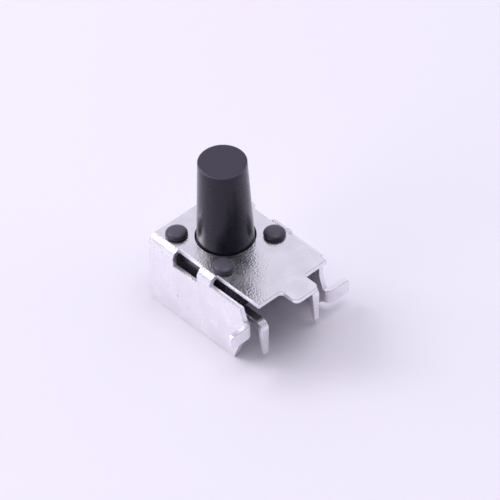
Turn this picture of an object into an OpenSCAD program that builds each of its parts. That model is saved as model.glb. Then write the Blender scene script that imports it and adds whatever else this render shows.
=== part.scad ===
// Right-angle tactile push button switch, lying on the rear edges of its bracket.
// Millimetres. The origin is where the stem axis meets the rear face of the moulded base.
// +Z runs along the stem, out of the button. -Y points at the circuit board.

/* [Bracket] */
// Thickness of the steel sheet
sheet_t = 0.35; // [0.2:0.05:0.4]
// Inside radius of the two long folds
fold_r = 0.25; // [0.15:0.05:0.5]
// Gap between the base and each side plate
plate_gap = 0.3; // [0.1:0.05:0.6]
// Depth from the front face to the rear edges of the side plates
bracket_depth = 5.45; // [5:0.05:7]
// How far the bracket reaches past the base, on the side away from the board
top_lip = 0.45; // [0.2:0.05:1]
// How far the side edges of the tongue stay inside the start of the folds
tongue_relief = 0.05; // [0.01:0.01:0.2]
// Distance from the stem axis to the tongue's free edge
tongue_reach = 6.35; // [6:0.05:7]
// Distance from the stem axis to where the folds end and the free tongue starts
fold_end = 2.4; // [1.6:0.1:2.8]
// Length of the window across each fold
window_l = 2.25; // [1:0.05:3]
// Distance of the window's middle from the stem axis, away from the board
window_mid = 0; // [-0.4:0.05:0.6]
// Depth of the window below the front face
window_depth = 1.2; // [0.9:0.05:2.2]
// How far the window runs into the rounded fold from the side plate
window_bite = 0.6; // [0.4:0.05:0.6]
// Gap between the tongue's plane and the top edge of each side plate, past the fold
slot_drop = 0.05; // [0.05:0.05:0.4]

/* [Board tab] */
// Width of the tab that drops past the board
tab_w = 2.05; // [1.2:0.05:3]
// Length of the tab past the tongue's free edge
tab_l = 1.45; // [0.8:0.05:2.5]
// Radius of the tab's outer corners
tab_tip_r = 0.4; // [0.1:0.05:0.5]
// Radius of the fillets at the tab's root
tab_root_r = 0.3; // [0.1:0.05:0.6]

/* [Solder feet] */
// Distance from the stem axis to the board face that feet and terminals meet
board_drop = 6.1; // [5.9:0.05:6.6]
// Inside radius of the bend of each foot
foot_bend_r = 0.15; // [0.1:0.05:0.6]
// Depth of the left foot's near edge behind the front face
foot_left_depth = 1.65; // [1.2:0.05:2.6]
// Depth of the right foot's near edge behind the front face
foot_right_depth = 3.4; // [1.2:0.05:3.8]
// Width of the left foot
foot_left_w = 1.05; // [0.6:0.05:1.4]
// Width of the right foot
foot_right_w = 1.05; // [0.6:0.05:1.4]
// Distance from the stem axis to the left foot's tip
foot_left_reach = 5.2; // [4.9:0.05:6]
// Distance from the stem axis to the right foot's tip
foot_right_reach = 5.2; // [4.9:0.05:6]
// Radius of the corners at each foot's tip
foot_tip_r = 0.25; // [0.05:0.05:0.3]
// Height above each foot over which the plate's end slants out to the foot
foot_root = 0.9; // [0.3:0.1:1.2]
// Distance from the stem axis to each side plate's end, at its front corner
plate_front_end = 5.3; // [4.6:0.05:5.5]
// Distance from the stem axis to each side plate's end, at its rear corner
plate_rear_end = 4.5; // [4:0.05:5.5]

/* [Base] */
// Side of the square moulded base
base_w = 6; // [5.9:0.05:6.3]
// Depth from the bracket's front face to the base's rear face
base_depth = 3.5; // [3.1:0.05:4.2]
// Radius of the base's upright corners
base_corner_r = 0.45; // [0.2:0.05:0.6]
// Pitch of the four staked posts, both ways
post_pitch = 4.5; // [4.4:0.05:4.7]
// Diameter of each post in its hole
post_d = 0.9; // [0.6:0.05:1]
// Diameter of each staked head
head_d = 1.5; // [1.2:0.05:1.7]
// Height of each staked head
head_h = 0.45; // [0.25:0.05:0.55]
// Height of the upright rim under the head's dome
head_rim = 0.1; // [0.04:0.02:0.16]

/* [Stem] */
// Height of the stem's top above the bracket's front face
stem_h = 6.5; // [2:0.1:12]
// Diameter of the stem at the bracket's front face
stem_root_d = 3.8; // [3.2:0.05:3.9]
// Diameter of the stem at its top
stem_top_d = 3.26; // [2.8:0.02:3.6]
// Radius round the stem's top edge
stem_edge_r = 0.1; // [0.04:0.02:0.3]
// How far the collar that keeps the stem in reaches past its hole, all round
collar_lip = 0.28; // [0.15:0.01:0.3]
// Thickness of the collar
collar_t = 0.55; // [0.3:0.05:0.8]
// Diameter of the boss under the collar
boss_d = 2.4; // [1.6:0.1:3]
// Diameter of the nub that presses on the dome
nub_d = 1.2; // [0.8:0.1:1.5]
// Height of the nub
nub_h = 0.25; // [0.1:0.05:0.4]
// Travel of the stem when it is pressed
travel = 0.25; // [0.15:0.05:0.35]

/* [Terminals] */
// Thickness of the terminal strip
strip_t = 0.4; // [0.2:0.05:0.4]
// Width of each terminal
strip_w = 0.6; // [0.4:0.05:0.8]
// Pitch of the two terminals
strip_pitch = 4.5; // [4.4:0.05:4.7]
// Depth of the terminals' near face behind the bracket's front face
strip_depth = 2.3; // [2.1:0.05:2.5]
// Inside radius of the bend of each terminal
strip_bend_r = 0.25; // [0.1:0.05:0.4]
// Depth of the terminals' tips behind the bracket's front face
strip_tip_depth = 5; // [4.2:0.05:5.2]
// Width of each terminal at its coined tip
strip_tip_w = 0.4; // [0.2:0.05:0.4]
// Thickness of each terminal at its coined tip
strip_tip_t = 0.25; // [0.1:0.05:0.3]

/* [Contacts] */
// Diameter of the snap dome
dome_d = 4.2; // [3.8:0.05:4.3]
// Thickness of the snap dome
dome_t = 0.06; // [0.04:0.01:0.1]
// Width of the ring contact under the dome's edge
ring_w = 0.5; // [0.3:0.05:0.6]
// Diameter of the centre contact
pad_d = 1.3; // [0.8:0.1:1.6]
// Angle of the gap in the ring contact that the centre contact's arm passes
ring_gap = 50; // [44:1:90]

/* [Clearances] */
// Gap round the stem's root in the bracket's hole
stem_gap = 0.1; // [0.04:0.01:0.2]
// Gap between the stem's collar and the bracket at rest
collar_gap = 0.03; // [0.02:0.01:0.1]
// Gap round the collar in the base
collar_side_gap = 0.12; // [0.06:0.02:0.15]
// Gap between the nub and the dome at rest
nub_gap = 0.02; // [0.01:0.01:0.05]
// Gap round the dome in the base
dome_gap = 0.08; // [0.04:0.02:0.1]
// Gap round each post in the bracket
post_gap = 0.03; // [0.02:0.01:0.06]
// Gap between a terminal and the plastic moulded round it
mould_gap = 0.01; // [0.005:0.005:0.02]

/* [Hidden] */
$fn = 64;
// Finer steps for the flat arc of the dome
cap_fn = 720;
// Small overlap that joins solids of one piece
join = 0.05;

steel = [0.83, 0.83, 0.85];
tin = [0.78, 0.77, 0.78];
spring_sheet = [0.80, 0.78, 0.74];
black_plastic = [0.12, 0.12, 0.13];

// Heights above the base's rear face
front_z = base_depth;
sheet_z = front_z - sheet_t;
rear_z = front_z - bracket_depth;
strip_top_z = front_z - strip_depth;
strip_low_z = strip_top_z - strip_t;
strip_tip_z = front_z - strip_tip_depth;

// Bracket folds and plates
plate_x = base_w / 2 + plate_gap + sheet_t;
top_reach = base_w / 2 + top_lip;
fold_ro = fold_r + sheet_t;
fold_x = plate_x - fold_ro;
fold_z = front_z - fold_ro;
tongue_x = fold_x - tongue_relief;
slot_z = fold_z - slot_drop;
foot_ro = foot_bend_r + sheet_t;
foot_start = board_drop - foot_ro;
post_hole_d = post_d + 2 * post_gap;

// Stem and cavity
stem_top_z = front_z + stem_h;
stem_hole_d = stem_root_d + 2 * stem_gap;
collar_d = stem_hole_d + 2 * collar_lip;
collar_top_z = sheet_z - collar_gap;
collar_low_z = collar_top_z - collar_t;
dome_h = travel + dome_t;
dome_top_z = strip_top_z + dome_h;
nub_low_z = dome_top_z + nub_gap;
boss_low_z = nub_low_z + nub_h;
shelf_z = collar_low_z - travel - collar_side_gap;
collar_hole_d = collar_d + 2 * collar_side_gap;
dome_hole_d = dome_d + 2 * dome_gap;

// Contacts; the arm runs from the centre to the left terminal, at arm_a round from +X
ring_od = dome_d + dome_gap;
arm_a = 225;
strip_bend_ro = strip_bend_r + strip_t;

// Sphere radius of a cap with base radius a and height h
function cap_radius(a, h) = (a * a + h * h) / (2 * h);

// Quarter of a ring in the quadrant where x and y are positive
module quarter_ring(r_in, r_out) {
    intersection() {
        difference() {
            circle(r = r_out);
            circle(r = r_in);
        }
        square(r_out);
    }
}

// Rectangle from the y axis outwards, with its two far corners rounded
module round_ended(len, wide, r) {
    translate([0, -wide / 2])
        square([len - r, wide]);
    translate([0, r - wide / 2])
        square([len, wide - 2 * r]);
    for (s = [-1, 1])
        translate([len - r, s * (wide / 2 - r)])
            circle(r = r);
}

// Fillet in the corner between two edges along x and y
module corner_fillet(r) {
    difference() {
        translate([-join, -join])
            square(r + join);
        translate([r, r])
            circle(r = r);
    }
}

// Tab that drops past the board, with filleted root, drawn downwards from the origin
module tab_outline() {
    rotate(-90)
        round_ended(tab_l, tab_w, tab_tip_r);
    translate([-tab_w / 2, 0])
        square([tab_w, join]);
    for (s = [0, 1])
        mirror([s, 0])
            translate([tab_w / 2, 0])
                mirror([0, 1])
                    corner_fillet(tab_root_r);
}

module front_outline() {
    difference() {
        union() {
            translate([-fold_x - join, -fold_end])
                square([2 * (fold_x + join), top_reach + fold_end]);
            translate([-tongue_x, -tongue_reach])
                square([2 * tongue_x, tongue_reach - fold_end + join]);
            translate([0, -tongue_reach])
                tab_outline();
        }
        circle(d = stem_hole_d);
        for (sx = [-1, 1], sy = [-1, 1])
            translate([sx, sy] * post_pitch / 2)
                circle(d = post_hole_d);
    }
}

// Long fold between the front and one side plate
module fold() {
    translate([fold_x, top_reach, fold_z])
        rotate([90, 0, 0])
            linear_extrude(top_reach + fold_end)
                quarter_ring(fold_r, fold_ro);
}

// Side plate in its own plane: x is the row's Y, y is the row's Z
module plate_outline(foot_depth, foot_w) {
    foot_z = front_z - foot_depth;
    polygon([
        [top_reach, rear_z],
        [top_reach, fold_z + join],
        [-fold_end, fold_z + join],
        [-fold_end, slot_z],
        [-plate_front_end, slot_z],
        [-plate_front_end, min(slot_z, foot_z + foot_root)],
        [-foot_start, foot_z],
        [-foot_start, foot_z - foot_w],
        [-plate_rear_end, rear_z]
    ]);
}

// Foot seen along the stem: the sheet bends outwards into the plane of the board
module foot_outline(reach) {
    translate([plate_x - sheet_t, -foot_start - join / 2])
        square([sheet_t, join]);
    translate([plate_x + foot_bend_r, -foot_start])
        rotate(180)
            quarter_ring(foot_bend_r, foot_ro);
    translate([plate_x + foot_bend_r - join / 2, -board_drop])
        square([reach - plate_x - foot_bend_r + join / 2, sheet_t]);
}

module foot(foot_depth, foot_w, reach) {
    foot_z = front_z - foot_depth - foot_w;
    intersection() {
        translate([0, 0, foot_z])
            linear_extrude(foot_w)
                foot_outline(reach);
        translate([0, join - foot_start, foot_z + foot_w / 2])
            rotate([90, 0, 0])
                linear_extrude(board_drop)
                    round_ended(reach, foot_w, foot_tip_r);
    }
}

// Opening across the fold, cut from the outside
module window() {
    translate([plate_x - window_bite, window_mid - window_l / 2, front_z - window_depth])
        cube([window_bite + join, window_l, window_depth + join]);
}

module side(foot_depth, foot_w, reach) {
    fold();
    translate([plate_x - sheet_t, 0, 0])
        rotate([90, 0, 90])
            linear_extrude(sheet_t)
                plate_outline(foot_depth, foot_w);
    foot(foot_depth, foot_w, reach);
}

// One folded sheet: front with tongue and tab, two side plates, two solder feet
module bracket() {
    color(steel)
        difference() {
            union() {
                translate([0, 0, sheet_z])
                    linear_extrude(sheet_t)
                        front_outline();
                side(foot_right_depth, foot_right_w, foot_right_reach);
                mirror([1, 0, 0])
                    side(foot_left_depth, foot_left_w, foot_left_reach);
            }
            for (s = [0, 1])
                mirror([s, 0, 0])
                    window();
        }
}

module base_outline() {
    half = base_w / 2 - base_corner_r;
    square([base_w, 2 * half], center = true);
    square([2 * half, base_w], center = true);
    for (sx = [-1, 1], sy = [-1, 1])
        translate([sx, sy] * half)
            circle(r = base_corner_r);
}

// Post through the bracket, upset into a domed head
module post() {
    cap_h = head_h - head_rim;
    cap_r = cap_radius(head_d / 2, cap_h);
    translate([0, 0, sheet_z - join])
        cylinder(d = post_d, h = sheet_t + 2 * join);
    translate([0, 0, front_z])
        cylinder(d = head_d, h = head_rim);
    intersection() {
        translate([0, 0, front_z + head_h - cap_r])
            sphere(r = cap_r);
        translate([0, 0, front_z + head_rim / 2])
            cylinder(d = head_d, h = head_h);
    }
}

// Moulded base with the cavity of the contacts and four staked posts
module base() {
    color(black_plastic) {
        difference() {
            linear_extrude(sheet_z)
                base_outline();
            translate([0, 0, strip_top_z])
                cylinder(d = dome_hole_d, h = base_depth);
            translate([0, 0, shelf_z])
                cylinder(d = collar_hole_d, h = base_depth);
            centre_lead(mould_gap);
            ring_lead(mould_gap);
        }
        for (sx = [-1, 1], sy = [-1, 1])
            translate([sx, sy, 0] * post_pitch / 2)
                post();
    }
}

// Button: tapered shaft, collar under the bracket, boss and nub over the dome
module stem() {
    edge_z = stem_top_z - stem_edge_r;
    color(black_plastic) {
        translate([0, 0, front_z])
            cylinder(d1 = stem_root_d, d2 = stem_top_d, h = stem_h - stem_edge_r);
        translate([0, 0, edge_z])
            rotate_extrude()
                intersection() {
                    translate([stem_top_d / 2 - stem_edge_r, 0])
                        circle(r = stem_edge_r);
                    square([stem_top_d, stem_edge_r]);
                }
        translate([0, 0, edge_z - join])
            cylinder(d = stem_top_d - 2 * stem_edge_r, h = stem_edge_r + join);
        translate([0, 0, collar_low_z])
            cylinder(d = stem_root_d, h = front_z - collar_low_z);
        translate([0, 0, collar_low_z])
            cylinder(d = collar_d, h = collar_t);
        translate([0, 0, boss_low_z])
            cylinder(d = boss_d, h = collar_low_z - boss_low_z + join);
        translate([0, 0, nub_low_z])
            cylinder(d = nub_d, h = nub_h + join);
    }
}

// Sprung metal cap that snaps through onto the centre contact
module snap_dome() {
    r_out = cap_radius(dome_d / 2, dome_h);
    color(spring_sheet)
        translate([0, 0, dome_top_z - r_out])
            rotate_extrude()
                intersection() {
                    difference() {
                        circle(r = r_out, $fn = cap_fn);
                        circle(r = r_out - dome_t, $fn = cap_fn);
                    }
                    translate([0, r_out - dome_h])
                        square([dome_d, dome_h + join]);
                }
}

// Strip from inside the base, out towards the board and bent down along it to a tapered tip
module strip(x, inner_y, gap) {
    wide = strip_w + 2 * gap;
    bend_y = -board_drop + strip_bend_ro;
    bend_z = strip_low_z - strip_bend_r;
    translate([x - wide / 2, bend_y, strip_low_z - gap])
        cube([wide, inner_y - bend_y, strip_t + gap]);
    translate([x - wide / 2, bend_y, bend_z])
        rotate([90, 0, 90])
            linear_extrude(wide)
                mirror([1, 0])
                    quarter_ring(strip_bend_r, strip_bend_ro);
    intersection() {
        translate([x - wide / 2, -board_drop, 0])
            rotate([90, 0, 90])
                linear_extrude(wide)
                    polygon([[0, bend_z], [strip_t, bend_z], [strip_tip_t, strip_tip_z], [0, strip_tip_z]]);
        translate([x, strip_t - board_drop, 0])
            rotate([90, 0, 0])
                linear_extrude(strip_t)
                    polygon([
                        [-wide / 2, bend_z],
                        [wide / 2, bend_z],
                        [strip_tip_w / 2, strip_tip_z],
                        [-strip_tip_w / 2, strip_tip_z]
                    ]);
    }
}

// Flat lead under the dome, as a layer of the given outline
module lead_layer(gap) {
    translate([0, 0, strip_low_z - gap])
        linear_extrude(strip_t + gap)
            children();
}

// Centre contact with its arm and its terminal on the left
module centre_lead(gap) {
    x = -strip_pitch / 2;
    strip(x, x, gap);
    lead_layer(gap) {
        circle(d = pad_d + 2 * gap);
        rotate(arm_a)
            translate([0, -strip_w / 2 - gap])
                square([norm([x, x]), strip_w + 2 * gap]);
    }
}

// Ring contact under the dome's edge with its terminal on the right
module ring_lead(gap) {
    strip(strip_pitch / 2, strip_w / 2, gap);
    lead_layer(gap)
        difference() {
            circle(d = ring_od + 2 * gap);
            circle(d = ring_od - 2 * ring_w - 2 * gap);
            rotate(arm_a)
                ring_gap_wedge(gap);
        }
}

// Wedge that opens the ring, narrower by the gap
module ring_gap_wedge(gap) {
    reach = ring_od;
    half = reach * tan(ring_gap / 2) - gap;
    polygon([[gap, 0], [reach, half], [reach, -half]]);
}

module terminal_left() {
    color(tin)
        centre_lead(0);
}

module terminal_right() {
    color(tin)
        ring_lead(0);
}

bracket();
base();
stem();
snap_dome();
terminal_left();
terminal_right();
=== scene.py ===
"""Looks of a right-angle tactile push button switch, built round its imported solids.

The frame's lengths are in metres. The sizes named here are in millimetres and angles are in degrees,
unless a comment or a description says otherwise.
"""

import logging
import math
from dataclasses import dataclass
from enum import Enum

import bmesh
import bpy
from mathutils import Matrix, Vector
from mathutils.bvhtree import BVHTree


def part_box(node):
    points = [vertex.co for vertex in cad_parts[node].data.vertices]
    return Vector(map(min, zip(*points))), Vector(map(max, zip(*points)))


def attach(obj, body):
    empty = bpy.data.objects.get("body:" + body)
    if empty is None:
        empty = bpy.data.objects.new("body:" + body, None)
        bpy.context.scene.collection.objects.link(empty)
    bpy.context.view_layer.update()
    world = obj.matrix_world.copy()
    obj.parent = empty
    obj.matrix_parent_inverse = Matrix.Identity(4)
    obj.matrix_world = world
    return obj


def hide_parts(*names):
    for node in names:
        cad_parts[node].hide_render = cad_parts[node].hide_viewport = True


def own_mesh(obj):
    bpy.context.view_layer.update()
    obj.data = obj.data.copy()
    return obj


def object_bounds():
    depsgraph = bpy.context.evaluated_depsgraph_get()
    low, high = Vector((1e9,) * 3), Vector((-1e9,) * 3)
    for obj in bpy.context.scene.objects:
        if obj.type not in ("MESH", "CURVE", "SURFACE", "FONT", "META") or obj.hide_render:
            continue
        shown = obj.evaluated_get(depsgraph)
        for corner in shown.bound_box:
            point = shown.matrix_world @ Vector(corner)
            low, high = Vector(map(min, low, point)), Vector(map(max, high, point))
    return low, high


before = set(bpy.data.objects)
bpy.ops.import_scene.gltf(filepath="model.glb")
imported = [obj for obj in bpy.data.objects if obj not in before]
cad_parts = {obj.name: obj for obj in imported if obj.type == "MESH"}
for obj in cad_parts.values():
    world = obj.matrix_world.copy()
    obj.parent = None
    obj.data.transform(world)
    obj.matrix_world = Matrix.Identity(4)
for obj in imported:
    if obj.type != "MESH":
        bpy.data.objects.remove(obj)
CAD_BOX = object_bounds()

MM = 0.001
HOUSING = "housing"
BUTTON = "button"

# Face attributes that the plating reads
SHEARED = "sheared"
ROUNDED = "rounded"

# Points closer than this are one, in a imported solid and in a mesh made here
PACKED_WELD = 0.0008
MADE_WELD = 0.0005

# Faces with less than the first angle between them are one, edges over the second are rounded
FLAT_ANGLE = 0.4
SHARP_ANGLE = 40.0

# Most of a noise pattern lies between these values
NOISE_LOW = 0.3
NOISE_HIGH = 0.7

logging.basicConfig(level=logging.INFO, format="%(message)s")
LOG = logging.getLogger("switch")

Colour = tuple[float, float, float, float]
Tint = tuple[float, float, float]
Point = tuple[float, float, float]
Socket = bpy.types.NodeSocket


class Axis(Enum):
    """Row axes that a cut, a turn or a squash follows."""

    Y = Vector((0.0, 1.0, 0.0))
    Z = Vector((0.0, 0.0, 1.0))


class Waste(Enum):
    """Side of a cut that is thrown away, along the cut's axis."""

    BELOW = "clear_inner"
    ABOVE = "clear_outer"


class Slot(Enum):
    """Material slots of the record."""

    BRACKET = "bracket_steel"
    BASE = "base_plastic"
    STEM = "stem_plastic"
    DOME = "dome_metal"
    TERMINAL = "terminal_tin"


class Course(Enum):
    """How a mapped value runs from its low end to its high end."""

    EVEN = "LINEAR"
    SOFT = "SMOOTHSTEP"


class Mixed(Enum):
    """What a mix node mixes: its data type, and the places of its two inputs and its output."""

    NUMBERS = ("FLOAT", 2, 3, 0)
    COLOURS = ("RGBA", 6, 7, 2)


# Node trees


class NodeTree:
    """Adds nodes to one node tree and feeds them."""

    def __init__(self, tree: bpy.types.NodeTree) -> None:
        """Takes the tree.

        Args:
            tree: The node tree to build in.
        """
        self.tree = tree

    def node(self, kind: str, *feeds: object, **values: object) -> bpy.types.Node:
        """Adds one node.

        Args:
            kind: The node's type name.
            feeds: Sockets or values for its inputs, in order.
            values: Its settings, and inputs by name, with spaces as underscores.

        Returns:
            The new node.
        """
        made = self.tree.nodes.new(kind)
        for key, value in values.items():
            label = key.replace("_", " ")
            if label in made.inputs:
                self.feed(made.inputs[label], value)
            else:
                setattr(made, key, value)
        for socket, value in zip(made.inputs, feeds):
            self.feed(socket, value)
        return made

    def feed(self, socket: Socket, value: object) -> None:
        """Links an output to a socket, or sets its value.

        Args:
            socket: The input to feed.
            value: An output socket, or a plain value.
        """
        if isinstance(value, Socket):
            self.tree.links.new(value, socket)
        else:
            socket.default_value = value

    def spread(
        self,
        value: Socket,
        start: float | Socket,
        end: float | Socket,
        low: float | Socket,
        high: float | Socket,
        course: Course = Course.EVEN,
    ) -> Socket:
        """Maps a value from one range to another and holds it at the ends.

        Args:
            value: The value.
            start: Where the low end lies.
            end: Where the high end lies.
            low: Result at the low end.
            high: Result at the high end.
            course: How the result runs between them.

        Returns:
            The mapped value.
        """
        made = self.node(
            "ShaderNodeMapRange",
            interpolation_type=course.value,
            Value=value,
            From_Min=start,
            From_Max=end,
            To_Min=low,
            To_Max=high,
        )
        return made.outputs["Result"]


# Finishes


@dataclass(frozen=True)
class Pattern:
    """A noise pattern of a real scale.

    Attributes:
        per_mm: Grains in a millimetre.
        detail: Octaves of finer noise.
        stretch: Factors along the three axes, where they differ.
    """

    per_mm: float
    detail: float
    stretch: Point | None = None


class Shader(NodeTree):
    """Builds one material and keeps its principled shader at hand."""

    def __init__(self, name: str) -> None:
        """Starts an empty material.

        Args:
            name: The finish's name.
        """
        self.material = bpy.data.materials.new(name)
        self.material.use_nodes = True
        super().__init__(self.material.node_tree)
        self.principled = self.tree.nodes["Principled BSDF"]

    def dress(self, **values: object) -> bpy.types.Material:
        """Feeds the principled shader.

        Args:
            values: Its inputs by name, with spaces as underscores.

        Returns:
            The finished material.
        """
        for key, value in values.items():
            self.feed(self.principled.inputs[key.replace("_", " ")], value)
        return self.material

    def object_space(self, stretch: Point | None = None) -> Socket:
        """Gives object coordinates, stretched if asked.

        Args:
            stretch: Factors along the three axes.

        Returns:
            The vector output.
        """
        place = self.node("ShaderNodeTexCoord").outputs["Object"]
        if stretch is None:
            return place
        return self.node("ShaderNodeMapping", Vector=place, Scale=stretch).outputs["Vector"]

    def noise(self, pattern: Pattern) -> Socket:
        """Gives a noise pattern.

        Args:
            pattern: The pattern's scale and detail.

        Returns:
            The factor output.
        """
        made = self.node(
            "ShaderNodeTexNoise",
            Vector=self.object_space(pattern.stretch),
            Scale=pattern.per_mm / MM,
            Detail=pattern.detail,
        )
        return made.outputs["Fac"]

    def ramp(self, noise: Socket, low: float, high: float) -> Socket:
        """Spreads a noise pattern between two numbers.

        Args:
            noise: The pattern.
            low: Value at its low end.
            high: Value at its high end.

        Returns:
            The mapped value.
        """
        return self.spread(noise, NOISE_LOW, NOISE_HIGH, low, high)

    def flag(self, attribute: str) -> Socket:
        """Gives a face attribute, which is nought on a piece that has none.

        Args:
            attribute: The attribute's name.

        Returns:
            The factor output.
        """
        return self.node("ShaderNodeAttribute", attribute_name=attribute).outputs["Fac"]

    def mix(self, kind: Mixed, share: Socket, first: object, second: object) -> Socket:
        """Blends two numbers or two colours.

        Args:
            kind: What is blended.
            share: The second one's share, from 0 to 1.
            first: Socket or value that shows where the share is 0.
            second: Socket or value that shows where the share is 1.

        Returns:
            The blended output.
        """
        data_type, place_first, place_second, place_out = kind.value
        made = self.node("ShaderNodeMix", share, data_type=data_type)
        self.feed(made.inputs[place_first], first)
        self.feed(made.inputs[place_second], second)
        return made.outputs[place_out]

    def bump(self, height: Socket, depth: float, under: Socket | None = None) -> Socket:
        """Turns a pattern into relief.

        Args:
            height: The pattern.
            depth: Depth of the relief.
            under: An earlier relief that this one adds to.

        Returns:
            The normal output.
        """
        made = self.node("ShaderNodeBump", Height=height, Distance=depth * MM, Strength=1.0)
        if under is not None:
            self.feed(made.inputs["Normal"], under)
        return made.outputs["Normal"]


@dataclass(frozen=True)
class Mark:
    """A small round mark on a sheet, also used for larger spots of painted shade.

    Attributes:
        centre: Its place in the row frame.
        radius: Its radius.
        darkness: How much of the mark's colour shows, from 0 to 1.
    """

    centre: Point
    radius: float
    darkness: float


@dataclass(frozen=True)
class PlatedSheet:
    """Satin tin-plated sheet with fine grain, cloudy plating and rolling lines.

    Attributes:
        name: The material's name.
        dark: Colour at the clouds' low end.
        light: Colour at their high end.
        rough_low: Roughness at the clouds' low end.
        rough_high: Roughness at their high end.
        clouds: Pattern of the clouds.
        grain: Pattern of the grain.
        lines: Pattern of the rolling lines.
        grain_depth: Relief of the grain.
        line_depth: Relief of the lines.
        sheared: Colour of a cut face.
        rough_sheared: Its roughness.
        metal_sheared: How metallic it is.
        edges: Colour of a rounded edge.
        mark_colour: Colour of the marks.
        mark_core: Share of a mark's radius that is dark all over.
        marks: The marks; on the terminals they are painted shade.
    """

    name: str
    dark: Colour = (0.91, 0.895, 0.925, 1.0)
    light: Colour = (0.99, 0.975, 1.0, 1.0)
    rough_low: float = 0.20
    rough_high: float = 0.31
    clouds: Pattern = Pattern(0.9, 4.0)
    grain: Pattern = Pattern(8.0, 0.0)
    lines: Pattern = Pattern(9.0, 2.0, (1.0, 0.08, 1.0))
    grain_depth: float = 0.014
    line_depth: float = 0.0006
    sheared: Colour = (0.97, 0.95, 1.0, 1.0)
    rough_sheared: float = 0.35
    metal_sheared: float = 0.85
    edges: Colour = (0.66, 0.64, 0.69, 1.0)
    mark_colour: Colour = (0.25, 0.24, 0.25, 1.0)
    mark_core: float = 0.4
    marks: tuple[Mark, ...] = ()

    def material(self) -> bpy.types.Material:
        """Builds the finish.

        Returns:
            The material.
        """
        shade = Shader(self.name)
        clouds = shade.noise(self.clouds)
        sheared = shade.flag(SHEARED)
        colour = shade.mix(Mixed.COLOURS, shade.ramp(clouds, 0.0, 1.0), self.dark, self.light)
        for mark in self.marks:
            colour = self.marked(shade, colour, mark)
        colour = shade.mix(Mixed.COLOURS, sheared, colour, self.sheared)
        colour = shade.mix(Mixed.COLOURS, shade.flag(ROUNDED), colour, self.edges)
        plain = shade.ramp(clouds, self.rough_low, self.rough_high)
        relief = shade.bump(shade.noise(self.lines), self.line_depth)
        return shade.dress(
            Base_Color=colour,
            Metallic=shade.spread(sheared, 0.0, 1.0, 1.0, self.metal_sheared),
            Roughness=shade.mix(Mixed.NUMBERS, sheared, plain, self.rough_sheared),
            Normal=shade.bump(shade.noise(self.grain), self.grain_depth, relief),
        )

    def marked(self, shade: Shader, colour: Socket, mark: Mark) -> Socket:
        """Darkens the colour inside one mark.

        Args:
            shade: The material being built.
            colour: The colour so far.
            mark: The mark to add.

        Returns:
            The colour with the mark.
        """
        centre = Vector(mark.centre) * MM
        away = shade.node("ShaderNodeVectorMath", shade.object_space(), centre, operation="DISTANCE")
        rim = mark.radius * MM
        inside = shade.spread(away.outputs["Value"], rim, rim * self.mark_core, 0.0, mark.darkness)
        return shade.mix(Mixed.COLOURS, inside, colour, self.mark_colour)


@dataclass(frozen=True)
class Band:
    """A change of colour with height.

    Attributes:
        start: Height where it starts.
        end: Height where it ends.
        colour: The colour above it.
    """

    start: float
    end: float
    colour: Colour


@dataclass(frozen=True)
class MouldedPlastic:
    """Black moulded plastic with a fine spark-eroded texture and a faint sheen of handling.

    Attributes:
        name: The material's name.
        dark: Colour at the patches' low end.
        light: Colour at their high end.
        rough_low: Roughness at the patches' low end.
        rough_high: Roughness at their high end.
        patches: Pattern of the patches.
        texture: Pattern of the eroded texture.
        gloss: Strength of the reflections.
        gloss_tint: Their tint.
        sheen: Strength of the sheen.
        sheen_rough: Its roughness.
        texture_depth: Relief of the texture.
        bands: Changes of colour with height, from the lowest up.
    """

    name: str
    dark: Colour = (0.008, 0.0065, 0.014, 1.0)
    light: Colour = (0.012, 0.010, 0.020, 1.0)
    rough_low: float = 0.24
    rough_high: float = 0.30
    patches: Pattern = Pattern(1.2, 3.0)
    texture: Pattern = Pattern(16.0, 2.0)
    gloss: float = 0.36
    gloss_tint: Colour = (0.92, 0.88, 1.0, 1.0)
    sheen: float = 0.60
    sheen_rough: float = 0.30
    texture_depth: float = 0.002
    bands: tuple[Band, ...] = ()

    def material(self) -> bpy.types.Material:
        """Builds the finish.

        Returns:
            The material.
        """
        shade = Shader(self.name)
        patches = shade.noise(self.patches)
        colour = shade.mix(Mixed.COLOURS, shade.ramp(patches, 0.0, 1.0), self.dark, self.light)
        height = shade.node("ShaderNodeSeparateXYZ", shade.object_space()).outputs["Z"]
        for band in self.bands:
            above = shade.spread(height, band.start * MM, band.end * MM, 0.0, 1.0)
            colour = shade.mix(Mixed.COLOURS, above, colour, band.colour)
        return shade.dress(
            Base_Color=colour,
            Roughness=shade.ramp(patches, self.rough_low, self.rough_high),
            Specular_IOR_Level=self.gloss,
            Specular_Tint=self.gloss_tint,
            Sheen_Weight=self.sheen,
            Sheen_Roughness=self.sheen_rough,
            Normal=shade.bump(shade.noise(self.texture), self.texture_depth),
        )


@dataclass(frozen=True)
class PaleFloor:
    """Smooth pale table top with a lavender cast.

    Attributes:
        name: The material's name.
        colour: Its colour.
        rough: Its roughness.
        gloss: Strength of its reflections.
    """

    name: str
    colour: Colour = (0.945, 0.91, 0.985, 1.0)
    rough: float = 0.7
    gloss: float = 0.2

    def material(self) -> bpy.types.Material:
        """Builds the finish.

        Returns:
            The material.
        """
        shade = Shader(self.name)
        return shade.dress(Base_Color=self.colour, Roughness=self.rough, Specular_IOR_Level=self.gloss)


# Geometry Nodes


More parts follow.
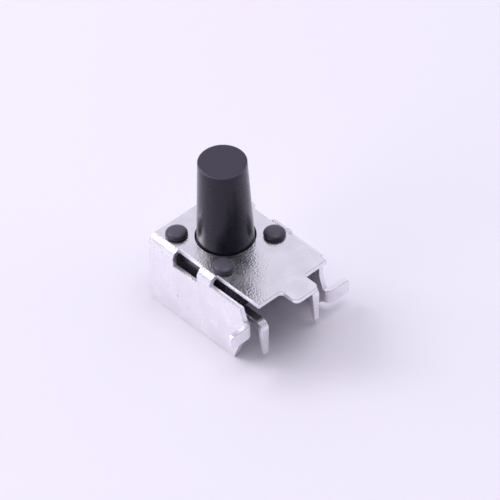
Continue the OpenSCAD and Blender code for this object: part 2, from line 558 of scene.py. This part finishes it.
class GeometryTree(NodeTree):
    """One Geometry Nodes tree with named inputs."""

    def __init__(self, name: str) -> None:
        """Starts a tree with a geometry input and output.

        Args:
            name: The tree's name.
        """
        super().__init__(bpy.data.node_groups.new(name, "GeometryNodeTree"))
        for way in ("INPUT", "OUTPUT"):
            self.tree.interface.new_socket("Geometry", in_out=way, socket_type="NodeSocketGeometry")
        self.entry = self.tree.nodes.new("NodeGroupInput")
        self.exit = self.tree.nodes.new("NodeGroupOutput")
        self.keys: dict[str, str] = {}

    def size(self, name: str, kind: str = "NodeSocketFloat") -> Socket:
        """Adds a named input.

        Args:
            name: The input's name.
            kind: The socket's type.

        Returns:
            The group input's output socket.
        """
        made = self.tree.interface.new_socket(name, in_out="INPUT", socket_type=kind)
        self.keys[name] = made.identifier
        return self.entry.outputs[name]

    def math(self, operation: str, *feeds: object) -> Socket:
        """Adds a math node.

        Args:
            operation: What it works out.
            feeds: Sockets or numbers to work with.

        Returns:
            The result.
        """
        return self.node("ShaderNodeMath", *feeds, operation=operation).outputs[0]

    def close(self, geometry: Socket, material: bpy.types.Material) -> None:
        """Ends the tree with realized instances in one material.

        Args:
            geometry: The finished geometry.
            material: The piece's finish.
        """
        real = self.node("GeometryNodeRealizeInstances", geometry).outputs[0]
        dressed = self.node("GeometryNodeSetMaterial", Geometry=real, Material=material)
        self.feed(self.exit.inputs[0], dressed.outputs[0])

    def plain_mesh(self, source: bpy.types.Object, values: dict[str, object]) -> bpy.types.Mesh:
        """Runs the tree on an object and gives the result as a plain mesh.

        Args:
            source: The object that carries the input geometry.
            values: The named inputs.

        Returns:
            The evaluated mesh.
        """
        modifier = source.modifiers.new("shape", "NODES")
        modifier.node_group = self.tree
        for name, value in values.items():
            modifier[self.keys[name]] = value
        graph = bpy.context.evaluated_depsgraph_get()
        mesh = bpy.data.meshes.new_from_object(source.evaluated_get(graph))
        source.modifiers.remove(modifier)
        return mesh


# Meshes


def link(name: str, mesh: bpy.types.Mesh) -> bpy.types.Object:
    """Puts a mesh in the scene as an object at the origin.

    Args:
        name: The piece's name.
        mesh: Its mesh, in the row frame.

    Returns:
        The object.
    """
    made = bpy.data.objects.new(name, mesh)
    bpy.context.scene.collection.objects.link(made)
    return made


def drop(obj: bpy.types.Object) -> None:
    """Removes a helper object from the scene.

    Args:
        obj: The helper.
    """
    bpy.data.objects.remove(obj, do_unlink=True)


def coat(mesh: bpy.types.Mesh, material: bpy.types.Material) -> None:
    """Gives a mesh one finish all over.

    Args:
        mesh: The mesh.
        material: The finish.
    """
    mesh.materials.clear()
    mesh.materials.append(material)


def welded(node: str) -> bmesh.types.BMesh:
    """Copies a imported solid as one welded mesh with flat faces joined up.

    Args:
        node: The node's name.

    Returns:
        The copy.
    """
    work = bmesh.new()
    work.from_mesh(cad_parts[node].data)
    flat = math.radians(FLAT_ANGLE)
    bmesh.ops.remove_doubles(work, verts=work.verts, dist=PACKED_WELD * MM)
    bmesh.ops.dissolve_limit(work, angle_limit=flat, verts=work.verts, edges=work.edges)
    return work


def cut_at(work: bmesh.types.BMesh, place: Vector, axis: Axis, waste: Waste) -> None:
    """Cuts a closed mesh at a plane, throws one side away and closes the cut.

    Args:
        work: The mesh being worked on.
        place: A point of the plane.
        axis: The axis that the plane stands across.
        waste: The side thrown away.
    """
    everything = work.verts[:] + work.edges[:] + work.faces[:]
    side = {waste.value: True}
    bmesh.ops.bisect_plane(work, geom=everything, plane_co=place, plane_no=axis.value, **side)
    bmesh.ops.holes_fill(work, edges=[edge for edge in work.edges if edge.is_boundary])


def join_seams(work: bmesh.types.BMesh) -> None:
    """Joins the seams and poles of a mesh made here and turns its faces outwards.

    Args:
        work: The mesh being worked on.
    """
    bmesh.ops.remove_doubles(work, verts=work.verts, dist=MADE_WELD * MM)
    bmesh.ops.recalc_face_normals(work, faces=work.faces)


def meshed(name: str, work: bmesh.types.BMesh) -> bpy.types.Mesh:
    """Ends the work on a mesh.

    Args:
        name: The mesh's name.
        work: The mesh being worked on.

    Returns:
        The plain mesh.
    """
    mesh = bpy.data.meshes.new(name)
    work.to_mesh(mesh)
    work.free()
    return mesh


def smooth(mesh: bpy.types.Mesh, angle: float = 35.0) -> None:
    """Shades a mesh smooth and keeps the edges over an angle sharp.

    Args:
        mesh: The mesh.
        angle: The angle.
    """
    work = bmesh.new()
    work.from_mesh(mesh)
    limit = math.radians(angle)
    for face in work.faces:
        face.smooth = True
    for edge in work.edges:
        edge.smooth = len(edge.link_faces) == 2 and edge.calc_face_angle(0.0) < limit
    work.to_mesh(mesh)
    work.free()


def flatten_shading(mesh: bpy.types.Mesh) -> None:
    """Shades a mesh smooth, with large faces kept flat between their rounded edges.

    Args:
        mesh: The mesh, whose normals at each corner lean towards those of its largest faces.
    """
    normals = [Vector() for _ in mesh.vertices]
    for face in mesh.polygons:
        for index in face.vertices:
            normals[index] += face.normal * face.area
    mesh.shade_smooth()
    mesh.normals_split_custom_set_from_vertices([normal.normalized() for normal in normals])


def rounded(obj: bpy.types.Object, radius: float, segments: int = 3) -> None:
    """Rounds an object's sharp edges, marks them and leaves the object a plain mesh.

    Args:
        obj: The piece, in one finish.
        radius: Radius of the rounding.
        segments: Faces across it.
    """
    worn = obj.data.materials[0]
    # The bevel puts its faces in a second slot, which tells them apart from the rest
    second_slot = 1
    obj.data.materials.append(worn)
    bevel = obj.modifiers.new("edges", "BEVEL")
    bevel.width = radius * MM
    bevel.segments = segments
    bevel.limit_method = "ANGLE"
    bevel.angle_limit = math.radians(SHARP_ANGLE)
    bevel.miter_outer = "MITER_ARC"
    bevel.use_clamp_overlap = False
    bevel.material = second_slot
    graph = bpy.context.evaluated_depsgraph_get()
    mesh = bpy.data.meshes.new_from_object(obj.evaluated_get(graph))
    obj.modifiers.remove(bevel)
    square = obj.data
    obj.data = mesh
    bpy.data.meshes.remove(square)
    flatten_shading(mesh)
    flags = [float(face.material_index == second_slot) for face in mesh.polygons]
    mesh.attributes.new(ROUNDED, "FLOAT", "FACE").data.foreach_set("value", flags)
    LOG.info("%s: %d of %d faces are rounded edges", obj.name, int(sum(flags)), len(flags))
    for face in mesh.polygons:
        face.material_index = 0
    coat(mesh, worn)


def find_sheared(mesh: bpy.types.Mesh, sheet: float) -> None:
    """Marks the cut faces of a sheet: those with more than its thickness of metal behind them.

    Args:
        mesh: The sheet's mesh, with its normals outwards.
        sheet: The sheet's thickness.
    """
    under = 0.001 * MM
    deep = 1.5 * sheet * MM
    mesh.calc_loop_triangles()
    places = [vertex.co.copy() for vertex in mesh.vertices]
    tree = BVHTree.FromPolygons(places, [tuple(part.vertices) for part in mesh.loop_triangles])
    widest = {}
    for triangle in mesh.loop_triangles:
        known = widest.get(triangle.polygon_index)
        if known is None or triangle.area > known.area:
            widest[triangle.polygon_index] = triangle
    flags = [0.0] * len(mesh.polygons)
    for index, triangle in widest.items():
        inward = -mesh.polygons[index].normal
        middle = sum((places[vertex] for vertex in triangle.vertices), Vector()) / 3.0
        away = tree.ray_cast(middle + inward * under, inward)[3]
        if away is not None and away > deep:
            flags[index] = 1.0
    mesh.attributes.new(SHEARED, "FLOAT", "FACE").data.foreach_set("value", flags)


def finished(obj: bpy.types.Object, body: str, slot: Slot, *nodes: str) -> None:
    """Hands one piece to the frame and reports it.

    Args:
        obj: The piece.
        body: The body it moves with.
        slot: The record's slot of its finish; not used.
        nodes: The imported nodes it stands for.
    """
    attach(obj, body)
    if nodes:
        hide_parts(*nodes)
    LOG.info("%s: %d faces, rides on %s, stands for %s", obj.name, len(obj.data.polygons), body, nodes)


# Sub-assemblies


@dataclass
class SheetBracket:
    """The folded sheet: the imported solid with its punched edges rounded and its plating.

    Attributes:
        sheet: The sheet's thickness.
        edge_radius: Radius of its rounded edges.
        finish: Its plating.
    """

    sheet: float = 0.35
    edge_radius: float = 0.035
    finish: PlatedSheet = PlatedSheet(
        "plated_bracket",
        marks=(Mark((-3.65, 0.81, -0.09), 0.14, 0.4), Mark((-3.65, 0.0, -0.7), 0.16, 0.12)),
    )

    def build(self) -> None:
        """Makes and dresses the bracket."""
        mesh = meshed("bracket_sheet", welded("bracket"))
        coat(mesh, self.finish.material())
        piece = link("bracket_sheet", mesh)
        rounded(piece, self.edge_radius)
        find_sheared(piece.data, self.sheet)
        finished(piece, HOUSING, Slot.BRACKET, "bracket")


@dataclass
class MouldedBase:
    """The black base under the bracket, and its four staked heads.

    Attributes:
        pitch: Distance between the heads' middles.
        head_radius: Radius of a head.
        head_height: Its height above the bracket.
        head_rim: Height of its widest place.
        fullness: Shape of its dome: 1 is round, less is squarer.
        sunk: How far it reaches into the bracket.
        tilt: Largest lean of a head, in radians.
        turn: Largest turn of a head on its own axis, in radians.
        around: Faces round a head.
        rings: Rings of faces from its foot to its top.
        edge_radius: Radius of the moulding's edges.
        edge_segments: Faces across them.
        seed: Seed of the heads' lean.
        finish: The moulding's finish.
        head_finish: The heads' finish, with painted light towards their tops.
    """

    pitch: float = 4.5
    head_radius: float = 0.75
    head_height: float = 0.45
    head_rim: float = 0.12
    fullness: float = 0.80
    sunk: float = 0.02
    tilt: float = 0.04
    turn: float = 6.28
    around: int = 48
    rings: int = 24
    edge_radius: float = 0.05
    edge_segments: int = 2
    seed: int = 7
    finish: MouldedPlastic = MouldedPlastic("moulded_base")
    head_finish: MouldedPlastic = MouldedPlastic(
        "upset_heads",
        rough_low=0.30,
        rough_high=0.45,
        gloss=0.5,
        # Painted light: the heads grow paler towards their tops, where the light falls on them
        bands=(
            Band(3.58, 3.80, (0.050, 0.045, 0.062, 1.0)),
            Band(3.80, 3.95, (0.095, 0.088, 0.115, 1.0)),
        ),
    )

    def build(self) -> None:
        """Makes and dresses the base and its heads."""
        self.block()
        self.heads()

    def face_z(self) -> float:
        """Gives the height of the bracket's front face.

        Returns:
            The height in metres.
        """
        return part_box("bracket")[1].z

    def block(self) -> None:
        """Makes the moulding below the heads."""
        work = welded("base")
        cut_at(work, Vector((0.0, 0.0, self.face_z() - self.sunk * MM)), Axis.Z, Waste.ABOVE)
        mesh = meshed("base_moulding", work)
        coat(mesh, self.finish.material())
        piece = link("base_moulding", mesh)
        rounded(piece, self.edge_radius, self.edge_segments)
        finished(piece, HOUSING, Slot.BASE, "base")

    def tree(self) -> GeometryTree:
        """Builds the tree that sets one upset head on each point.

        Returns:
            The tree, with inputs Radius, Height, Fullness, Rim, Sunk and Seed.
        """
        made = GeometryTree("staked_heads")
        radius, height = made.size("Radius"), made.size("Height")
        fullness, rim, sunk = made.size("Fullness"), made.size("Rim"), made.size("Sunk")
        seed = made.size("Seed", "NodeSocketInt")
        unit_ball = made.node("GeometryNodeMeshUVSphere", self.around, self.rings, 1.0)
        place = made.node("GeometryNodeInputPosition").outputs[0]
        beside_x, beside_y, level = made.node("ShaderNodeSeparateXYZ", place).outputs
        # Sideways the ball is swollen towards its rim, and its middle is kept off nought
        nearly_nought = 0.0001
        flat = made.node("ShaderNodeCombineXYZ", beside_x, beside_y, 0.0).outputs[0]
        away = made.node("ShaderNodeVectorMath", flat, operation="LENGTH").outputs["Value"]
        out = made.math("MAXIMUM", away, nearly_nought)
        swell = made.math("DIVIDE", made.math("POWER", out, fullness), out)
        side = made.math("MULTIPLY", swell, radius)
        # Its upper half rises to the head's height, and its lower half ends in the bracket
        above = made.math("POWER", made.math("MAXIMUM", level, 0.0), fullness)
        under = made.math("MAXIMUM", made.math("MULTIPLY", level, -1.0), 0.0)
        below = made.math("POWER", under, fullness)
        up = made.math("MULTIPLY", above, made.math("SUBTRACT", height, rim))
        down = made.math("MULTIPLY", below, made.math("ADD", rim, sunk))
        grown = made.node(
            "ShaderNodeCombineXYZ",
            made.math("MULTIPLY", beside_x, side),
            made.math("MULTIPLY", beside_y, side),
            made.math("ADD", rim, made.math("SUBTRACT", up, down)),
        ).outputs[0]
        head = made.node("GeometryNodeSetPosition", Geometry=unit_ball.outputs["Mesh"], Position=grown)
        # Each head leans a little and is turned its own way
        least = (-self.tilt, -self.tilt, 0.0)
        most = (self.tilt, self.tilt, self.turn)
        lean = made.node("FunctionNodeRandomValue", least, most, data_type="FLOAT_VECTOR", Seed=seed)
        placed = made.node(
            "GeometryNodeInstanceOnPoints",
            Points=made.entry.outputs["Geometry"],
            Instance=head.outputs["Geometry"],
            Rotation=lean.outputs[0],
        ).outputs[0]
        smoothed = made.node("GeometryNodeSetShadeSmooth", placed).outputs[0]
        made.close(smoothed, self.head_finish.material())
        return made

    def heads(self) -> None:
        """Makes the four staked heads on the bracket's face."""
        half = self.pitch / 2 * MM
        points = [(sx * half, sy * half, self.face_z()) for sx in (-1, 1) for sy in (-1, 1)]
        mesh = bpy.data.meshes.new("head_points")
        mesh.from_pydata(points, [], [])
        source = link("head_points", mesh)
        values = {
            "Radius": self.head_radius * MM,
            "Height": self.head_height * MM,
            "Fullness": self.fullness,
            "Rim": self.head_rim * MM,
            "Sunk": self.sunk * MM,
            "Seed": self.seed,
        }
        piece = link("staked_heads", self.tree().plain_mesh(source, values))
        drop(source)
        finished(piece, HOUSING, Slot.BASE)


@dataclass
class ButtonStem:
    """The tapered button, turned as one profile.

    Attributes:
        root_radius: Radius where it leaves the bracket.
        top_radius: Radius at the top, before the edge is rounded.
        edge_radius: Radius of the top's rounded edge.
        collar_radius: Radius of the collar that keeps it in.
        collar_top: Height of the collar's upper face.
        collar_low: Height of its lower face.
        boss_radius: Radius of the boss under the collar.
        boss_low: Height of its lower face.
        nub_radius: Radius of the nub that presses the dome.
        dish_radius: Radius where the top starts to dip.
        dish_depth: Depth of the dip.
        dish_lip: Share of that depth at the dip's rim.
        dish_flat: Share of the dip's radius that is flat.
        shaft_rows: Rows of faces along the taper.
        edge_rows: Rows round the rounded edge.
        steps: Faces round the stem.
        edge_angle: Angle over which an edge stays sharp.
        finish: Its finish, with a painted highlight round the top edge and a paler top face.
    """

    root_radius: float = 1.9
    top_radius: float = 1.63
    edge_radius: float = 0.1
    collar_radius: float = 2.28
    collar_top: float = 3.12
    collar_low: float = 2.57
    boss_radius: float = 1.2
    boss_low: float = 1.78
    nub_radius: float = 0.6
    dish_radius: float = 1.28
    dish_depth: float = 0.012
    dish_lip: float = 0.3
    dish_flat: float = 0.6
    shaft_rows: int = 12
    edge_rows: int = 6
    steps: int = 160
    edge_angle: float = 40.0
    finish: MouldedPlastic = MouldedPlastic(
        "moulded_stem",
        bands=(
            # Painted highlight round the rounded top edge, then a paler top face
            Band(9.86, 9.92, (0.105, 0.097, 0.130, 1.0)),
            Band(9.972, 9.985, (0.046, 0.041, 0.064, 1.0)),
        ),
    )

    def profile(self) -> list[tuple[float, float]]:
        """Gives the outline from the nub's middle to the top's middle.

        Returns:
            Radius and height of each point.
        """
        low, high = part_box("stem")
        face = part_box("bracket")[1].z / MM
        nub, top = low.z / MM, high.z / MM
        points = [
            (0.0, nub),
            (self.nub_radius, nub),
            (self.nub_radius, self.boss_low),
            (self.boss_radius, self.boss_low),
            (self.boss_radius, self.collar_low),
            (self.collar_radius, self.collar_low),
            (self.collar_radius, self.collar_top),
            (self.root_radius, self.collar_top),
            (self.root_radius, face),
        ]
        shaft_top = top - self.edge_radius
        for row in range(1, self.shaft_rows + 1):
            share = row / self.shaft_rows
            radius = self.root_radius + (self.top_radius - self.root_radius) * share
            points.append((radius, face + (shaft_top - face) * share))
        for row in range(1, self.edge_rows + 1):
            angle = math.pi / 2 * row / self.edge_rows
            radius = self.top_radius - self.edge_radius + self.edge_radius * math.cos(angle)
            points.append((radius, shaft_top + self.edge_radius * math.sin(angle)))
        points.append((self.dish_radius, top - self.dish_depth * self.dish_lip))
        points.append((self.dish_radius * self.dish_flat, top - self.dish_depth))
        points.append((0.0, top - self.dish_depth))
        return points

    def build(self) -> None:
        """Makes and dresses the stem."""
        work = bmesh.new()
        line = [work.verts.new((radius * MM, 0.0, height * MM)) for radius, height in self.profile()]
        edges = [work.edges.new(pair) for pair in zip(line, line[1:])]
        bmesh.ops.spin(
            work,
            geom=line + edges,
            cent=(0.0, 0.0, 0.0),
            axis=Axis.Z.value,
            angle=math.tau,
            steps=self.steps,
            use_merge=True,
        )
        join_seams(work)
        mesh = meshed("stem_button", work)
        smooth(mesh, self.edge_angle)
        coat(mesh, self.finish.material())
        finished(link("stem_button", mesh), BUTTON, Slot.STEM, "stem")


@dataclass
class BentTerminals:
    """The two tin-plated strips: leads in the base, bent down along the board.

    Attributes:
        pitch: Distance between the strips' middles.
        width: Width of a strip.
        thickness: Its thickness.
        bend_radius: Inside radius of its bend.
        tip_width: Width at the tip.
        tip_thickness: Thickness at the tip.
        middle_z: Height of the straight part's middle.
        joint_y: Where the strip meets its lead.
        lap: How far the two overlap there.
        bend_steps: Faces round the bend.
        edge_radius: Radius of the strip's edges.
        finish: The plating, with painted shade near the base.
    """

    pitch: float = 4.5
    width: float = 0.6
    thickness: float = 0.4
    bend_radius: float = 0.25
    tip_width: float = 0.4
    tip_thickness: float = 0.25
    middle_z: float = 1.0
    joint_y: float = -2.88
    lap: float = 0.03
    bend_steps: int = 14
    edge_radius: float = 0.04
    finish: PlatedSheet = PlatedSheet(
        "plated_terminal",
        rough_low=0.22,
        rough_high=0.34,
        edges=(0.86, 0.84, 0.88, 1.0),
        # Painted shade: the straight parts under the bracket's front face are darkened
        marks=(Mark((-2.25, -4.1, 1.0), 1.9, 0.85), Mark((2.25, -4.1, 1.0), 1.9, 0.85)),
    )

    def build(self) -> None:
        """Makes and dresses both terminals."""
        material = self.finish.material()
        tree = self.tree(material)
        for node, side in (("terminal_left", -1), ("terminal_right", 1)):
            self.lead(node, material)
            self.strip(node, side * self.pitch / 2, tree)

    def lead(self, node: str, material: bpy.types.Material) -> None:
        """Makes the flat contact that stays inside the base.

        Args:
            node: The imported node.
            material: The terminals' finish.
        """
        work = welded(node)
        cut_at(work, Vector((0.0, (self.joint_y - self.lap) * MM, 0.0)), Axis.Y, Waste.BELOW)
        mesh = meshed(node + "_lead", work)
        smooth(mesh)
        coat(mesh, material)
        finished(link(node + "_lead", mesh), HOUSING, Slot.TERMINAL, node)

    def tree(self, material: bpy.types.Material) -> GeometryTree:
        """Builds the tree that draws a strip along a bent path and tapers its leg.

        Args:
            material: The terminals' finish.

        Returns:
            The tree, with inputs Width, Thickness, Radius, Steps, Outer, Start, End, Narrow, Thin
            and Across.
        """
        made = GeometryTree("bent_strip")
        width, thickness, radius = made.size("Width"), made.size("Thickness"), made.size("Radius")
        steps = made.size("Steps", "NodeSocketInt")
        outer, start, end = made.size("Outer"), made.size("Start"), made.size("End")
        narrow, thin, across = made.size("Narrow"), made.size("Thin"), made.size("Across")
        path = made.node("GeometryNodeMeshToCurve", made.entry.outputs["Geometry"]).outputs[0]
        bent = made.node("GeometryNodeFilletCurve", mode="POLY", Curve=path, Count=steps, Radius=radius)
        section = made.node("GeometryNodeCurvePrimitiveQuadrilateral", width, thickness)
        drawn = made.node(
            "GeometryNodeCurveToMesh",
            Curve=bent.outputs[0],
            Profile_Curve=section.outputs[0],
            Fill_Caps=True,
        )
        place = made.node("GeometryNodeInputPosition").outputs[0]
        beside, behind, height = made.node("ShaderNodeSeparateXYZ", place).outputs
        # Below the bend the strip gets narrower and thinner, and its outer face stays straight
        share = made.spread(height, start, end, 0.0, 1.0)
        from_outer = made.math("SUBTRACT", behind, outer)
        narrowed = made.math("MULTIPLY", beside, made.spread(share, 0.0, 1.0, 1.0, narrow))
        thinned = made.math("MULTIPLY", from_outer, made.spread(share, 0.0, 1.0, 1.0, thin))
        tapered = made.node(
            "ShaderNodeCombineXYZ",
            made.math("ADD", narrowed, across),
            made.math("ADD", outer, thinned),
            height,
        ).outputs[0]
        placed = made.node("GeometryNodeSetPosition", Geometry=drawn.outputs[0], Position=tapered)
        made.close(placed.outputs[0], material)
        return made

    def strip(self, node: str, across: float, tree: GeometryTree) -> None:
        """Makes the bent strip that leaves the base and runs down along the board.

        Args:
            node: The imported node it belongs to.
            across: The strip's place across the switch.
            tree: The tree that draws it.
        """
        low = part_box(node)[0]
        inside = low.y + self.thickness / 2 * MM
        path = [
            (0.0, self.joint_y * MM, self.middle_z * MM),
            (0.0, inside, self.middle_z * MM),
            (0.0, inside, low.z),
        ]
        mesh = bpy.data.meshes.new(node + "_path")
        mesh.from_pydata(path, [(0, 1), (1, 2)], [])
        source = link(node + "_path", mesh)
        bend = self.bend_radius + self.thickness / 2
        values = {
            "Width": self.width * MM,
            "Thickness": self.thickness * MM,
            "Radius": bend * MM,
            "Steps": self.bend_steps,
            "Outer": low.y,
            "Start": (self.middle_z - bend) * MM,
            "End": low.z,
            "Narrow": self.tip_width / self.width,
            "Thin": self.tip_thickness / self.thickness,
            "Across": across * MM,
        }
        piece = link(node + "_strip", tree.plain_mesh(source, values))
        drop(source)
        work = bmesh.new()
        work.from_mesh(piece.data)
        join_seams(work)
        work.to_mesh(piece.data)
        work.free()
        rounded(piece, self.edge_radius)
        finished(piece, HOUSING, Slot.TERMINAL)


@dataclass
class SnapDome:
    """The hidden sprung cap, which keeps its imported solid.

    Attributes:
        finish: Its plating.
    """

    finish: PlatedSheet = PlatedSheet("spring_dome", rough_low=0.16, rough_high=0.26)

    def build(self) -> None:
        """Makes a smooth copy of the dome."""
        mesh = meshed("dome_spring", welded("snap_dome"))
        smooth(mesh)
        coat(mesh, self.finish.material())
        piece = link("dome_spring", mesh)
        finished(piece, HOUSING, Slot.DOME, "snap_dome")
        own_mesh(piece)


# Stage


def heading(azimuth: float, elevation: float) -> Vector:
    """Gives a direction as seen from the part.

    Args:
        azimuth: Turn from -Y towards +X.
        elevation: Rise above the level.

    Returns:
        The direction, one long.
    """
    turn, lift = math.radians(azimuth), math.radians(elevation)
    return Vector((math.sin(turn) * math.cos(lift), -math.cos(turn) * math.cos(lift), math.sin(lift)))


@dataclass(frozen=True)
class Lamp:
    """One soft square light that faces the part.

    Attributes:
        name: The light's name.
        place: Where it hangs.
        side: Side of its square.
        watts: Its power.
        tint: Its colour.
    """

    name: str
    place: Point
    side: float
    watts: float
    tint: Tint

    def hang(self) -> None:
        """Puts the light in the scene."""
        data = bpy.data.lights.new(self.name, "AREA")
        data.size = self.side * MM
        data.energy = self.watts
        data.color = self.tint
        made = bpy.data.objects.new(self.name, data)
        place = Vector(self.place)
        facing = place.to_track_quat("Z", "Y").to_matrix().to_4x4()
        made.matrix_world = Matrix.Translation(place * MM) @ facing
        bpy.context.scene.collection.objects.link(made)


@dataclass
class Studio:
    """Pale floor, soft lights and the camera of the photograph.

    Attributes:
        azimuth: The camera's place round the part.
        elevation: Its rise above the level.
        roll: Its roll.
        distance: Its distance from the aim.
        aim: The point in the picture's middle.
        pixels_per_radian: Scale of the picture.
        picture: Side of the picture, in pixels.
        sensor: Width of the camera's sensor.
        clip_near: The camera's near limit.
        clip_far: Its far limit.
        floor_side: Side of the floor.
        world: Colour of the room's light.
        world_strength: Its strength.
        dim_strength: Its strength in the middle of the room's dark place.
        dim_angle: Angle from that middle to the dark place's rim.
        dim_core: Share of that angle that is dark all over.
        dim_azimuth: Where the dark place lies round the part.
        dim_elevation: Its rise above the level.
        lamps: The lamps.
    """

    azimuth: float = -41.415
    elevation: float = 43.387
    roll: float = -2.352
    distance: float = 400.0
    aim: Point = (0.6797, -1.567, 2.7325)
    pixels_per_radian: float = 6155.0
    picture: int = 500
    sensor: float = 36.0
    clip_near: float = 10.0
    clip_far: float = 4000.0
    floor_side: float = 900.0
    world: Colour = (0.885, 0.86, 1.0, 1.0)
    world_strength: float = 0.80
    dim_strength: float = 0.06
    dim_angle: float = 70.0
    dim_core: float = 0.4
    dim_azimuth: float = -30.0
    dim_elevation: float = 25.0
    lamps: tuple[Lamp, ...] = (
        Lamp("key", (-110.0, 235.0, 250.0), 170.0, 0.38, (1.0, 0.99, 1.0)),
        Lamp("side", (-330.0, 35.0, 130.0), 200.0, 0.16, (1.0, 0.98, 1.0)),
        Lamp("top", (60.0, -60.0, 420.0), 260.0, 0.45, (0.97, 0.96, 1.0)),
    )

    def build(self) -> None:
        """Sets up the whole stage."""
        bpy.context.scene.view_settings.view_transform = "Standard"
        self.floor()
        self.surroundings()
        for lamp in self.lamps:
            lamp.hang()
        self.camera()

    def floor(self) -> None:
        """Lays the floor under the part."""
        half = self.floor_side / 2 * MM
        level = CAD_BOX[0].z
        places = [(sx * half, sy * half, level) for sx, sy in ((-1, -1), (1, -1), (1, 1), (-1, 1))]
        mesh = bpy.data.meshes.new("floor")
        mesh.from_pydata(places, [], [(0, 1, 2, 3)])
        coat(mesh, PaleFloor("pale_floor").material())
        link("floor", mesh)

    def surroundings(self) -> None:
        """Sets the room's light, which has one dark place on the camera's side."""
        world = bpy.data.worlds.new("surroundings")
        world.use_nodes = True
        room = NodeTree(world.node_tree)
        back = world.node_tree.nodes["Background"]
        way = room.node("ShaderNodeTexCoord").outputs["Generated"]
        middle = heading(self.dim_azimuth, self.dim_elevation)
        toward = room.node("ShaderNodeVectorMath", way, middle, operation="DOT_PRODUCT")
        strength = room.spread(
            toward.outputs["Value"],
            math.cos(math.radians(self.dim_angle)),
            math.cos(math.radians(self.dim_angle * self.dim_core)),
            self.world_strength,
            self.dim_strength,
            Course.SOFT,
        )
        room.feed(back.inputs["Color"], self.world)
        room.feed(back.inputs["Strength"], strength)
        bpy.context.scene.world = world

    def directions(self) -> tuple[Vector, Vector, Vector]:
        """Gives the camera's own directions.

        Returns:
            Its right, up and back.
        """
        turn, roll = math.radians(self.azimuth), math.radians(self.roll)
        back = heading(self.azimuth, self.elevation)
        level = Vector((math.cos(turn), math.sin(turn), 0.0))
        up = back.cross(level)
        right = level * math.cos(roll) + up * math.sin(roll)
        return right, up * math.cos(roll) - level * math.sin(roll), back

    def camera(self) -> None:
        """Sets up the camera at the photograph's viewing angle."""
        right, up, back = self.directions()
        data = bpy.data.cameras.new("camera")
        data.sensor_width = self.sensor
        data.lens = self.pixels_per_radian / self.picture * self.sensor
        data.clip_start = self.clip_near * MM
        data.clip_end = self.clip_far * MM
        eye = bpy.data.objects.new("camera", data)
        turned = Matrix((right, up, back)).transposed().to_4x4()
        place = (Vector(self.aim) + back * self.distance) * MM
        eye.matrix_world = Matrix.Translation(place) @ turned
        bpy.context.scene.collection.objects.link(eye)
        bpy.context.scene.camera = eye


def main() -> None:
    """Builds every piece in order."""
    Studio().build()
    SheetBracket().build()
    MouldedBase().build()
    ButtonStem().build()
    BentTerminals().build()
    SnapDome().build()


if __name__ == "__main__":
    main()
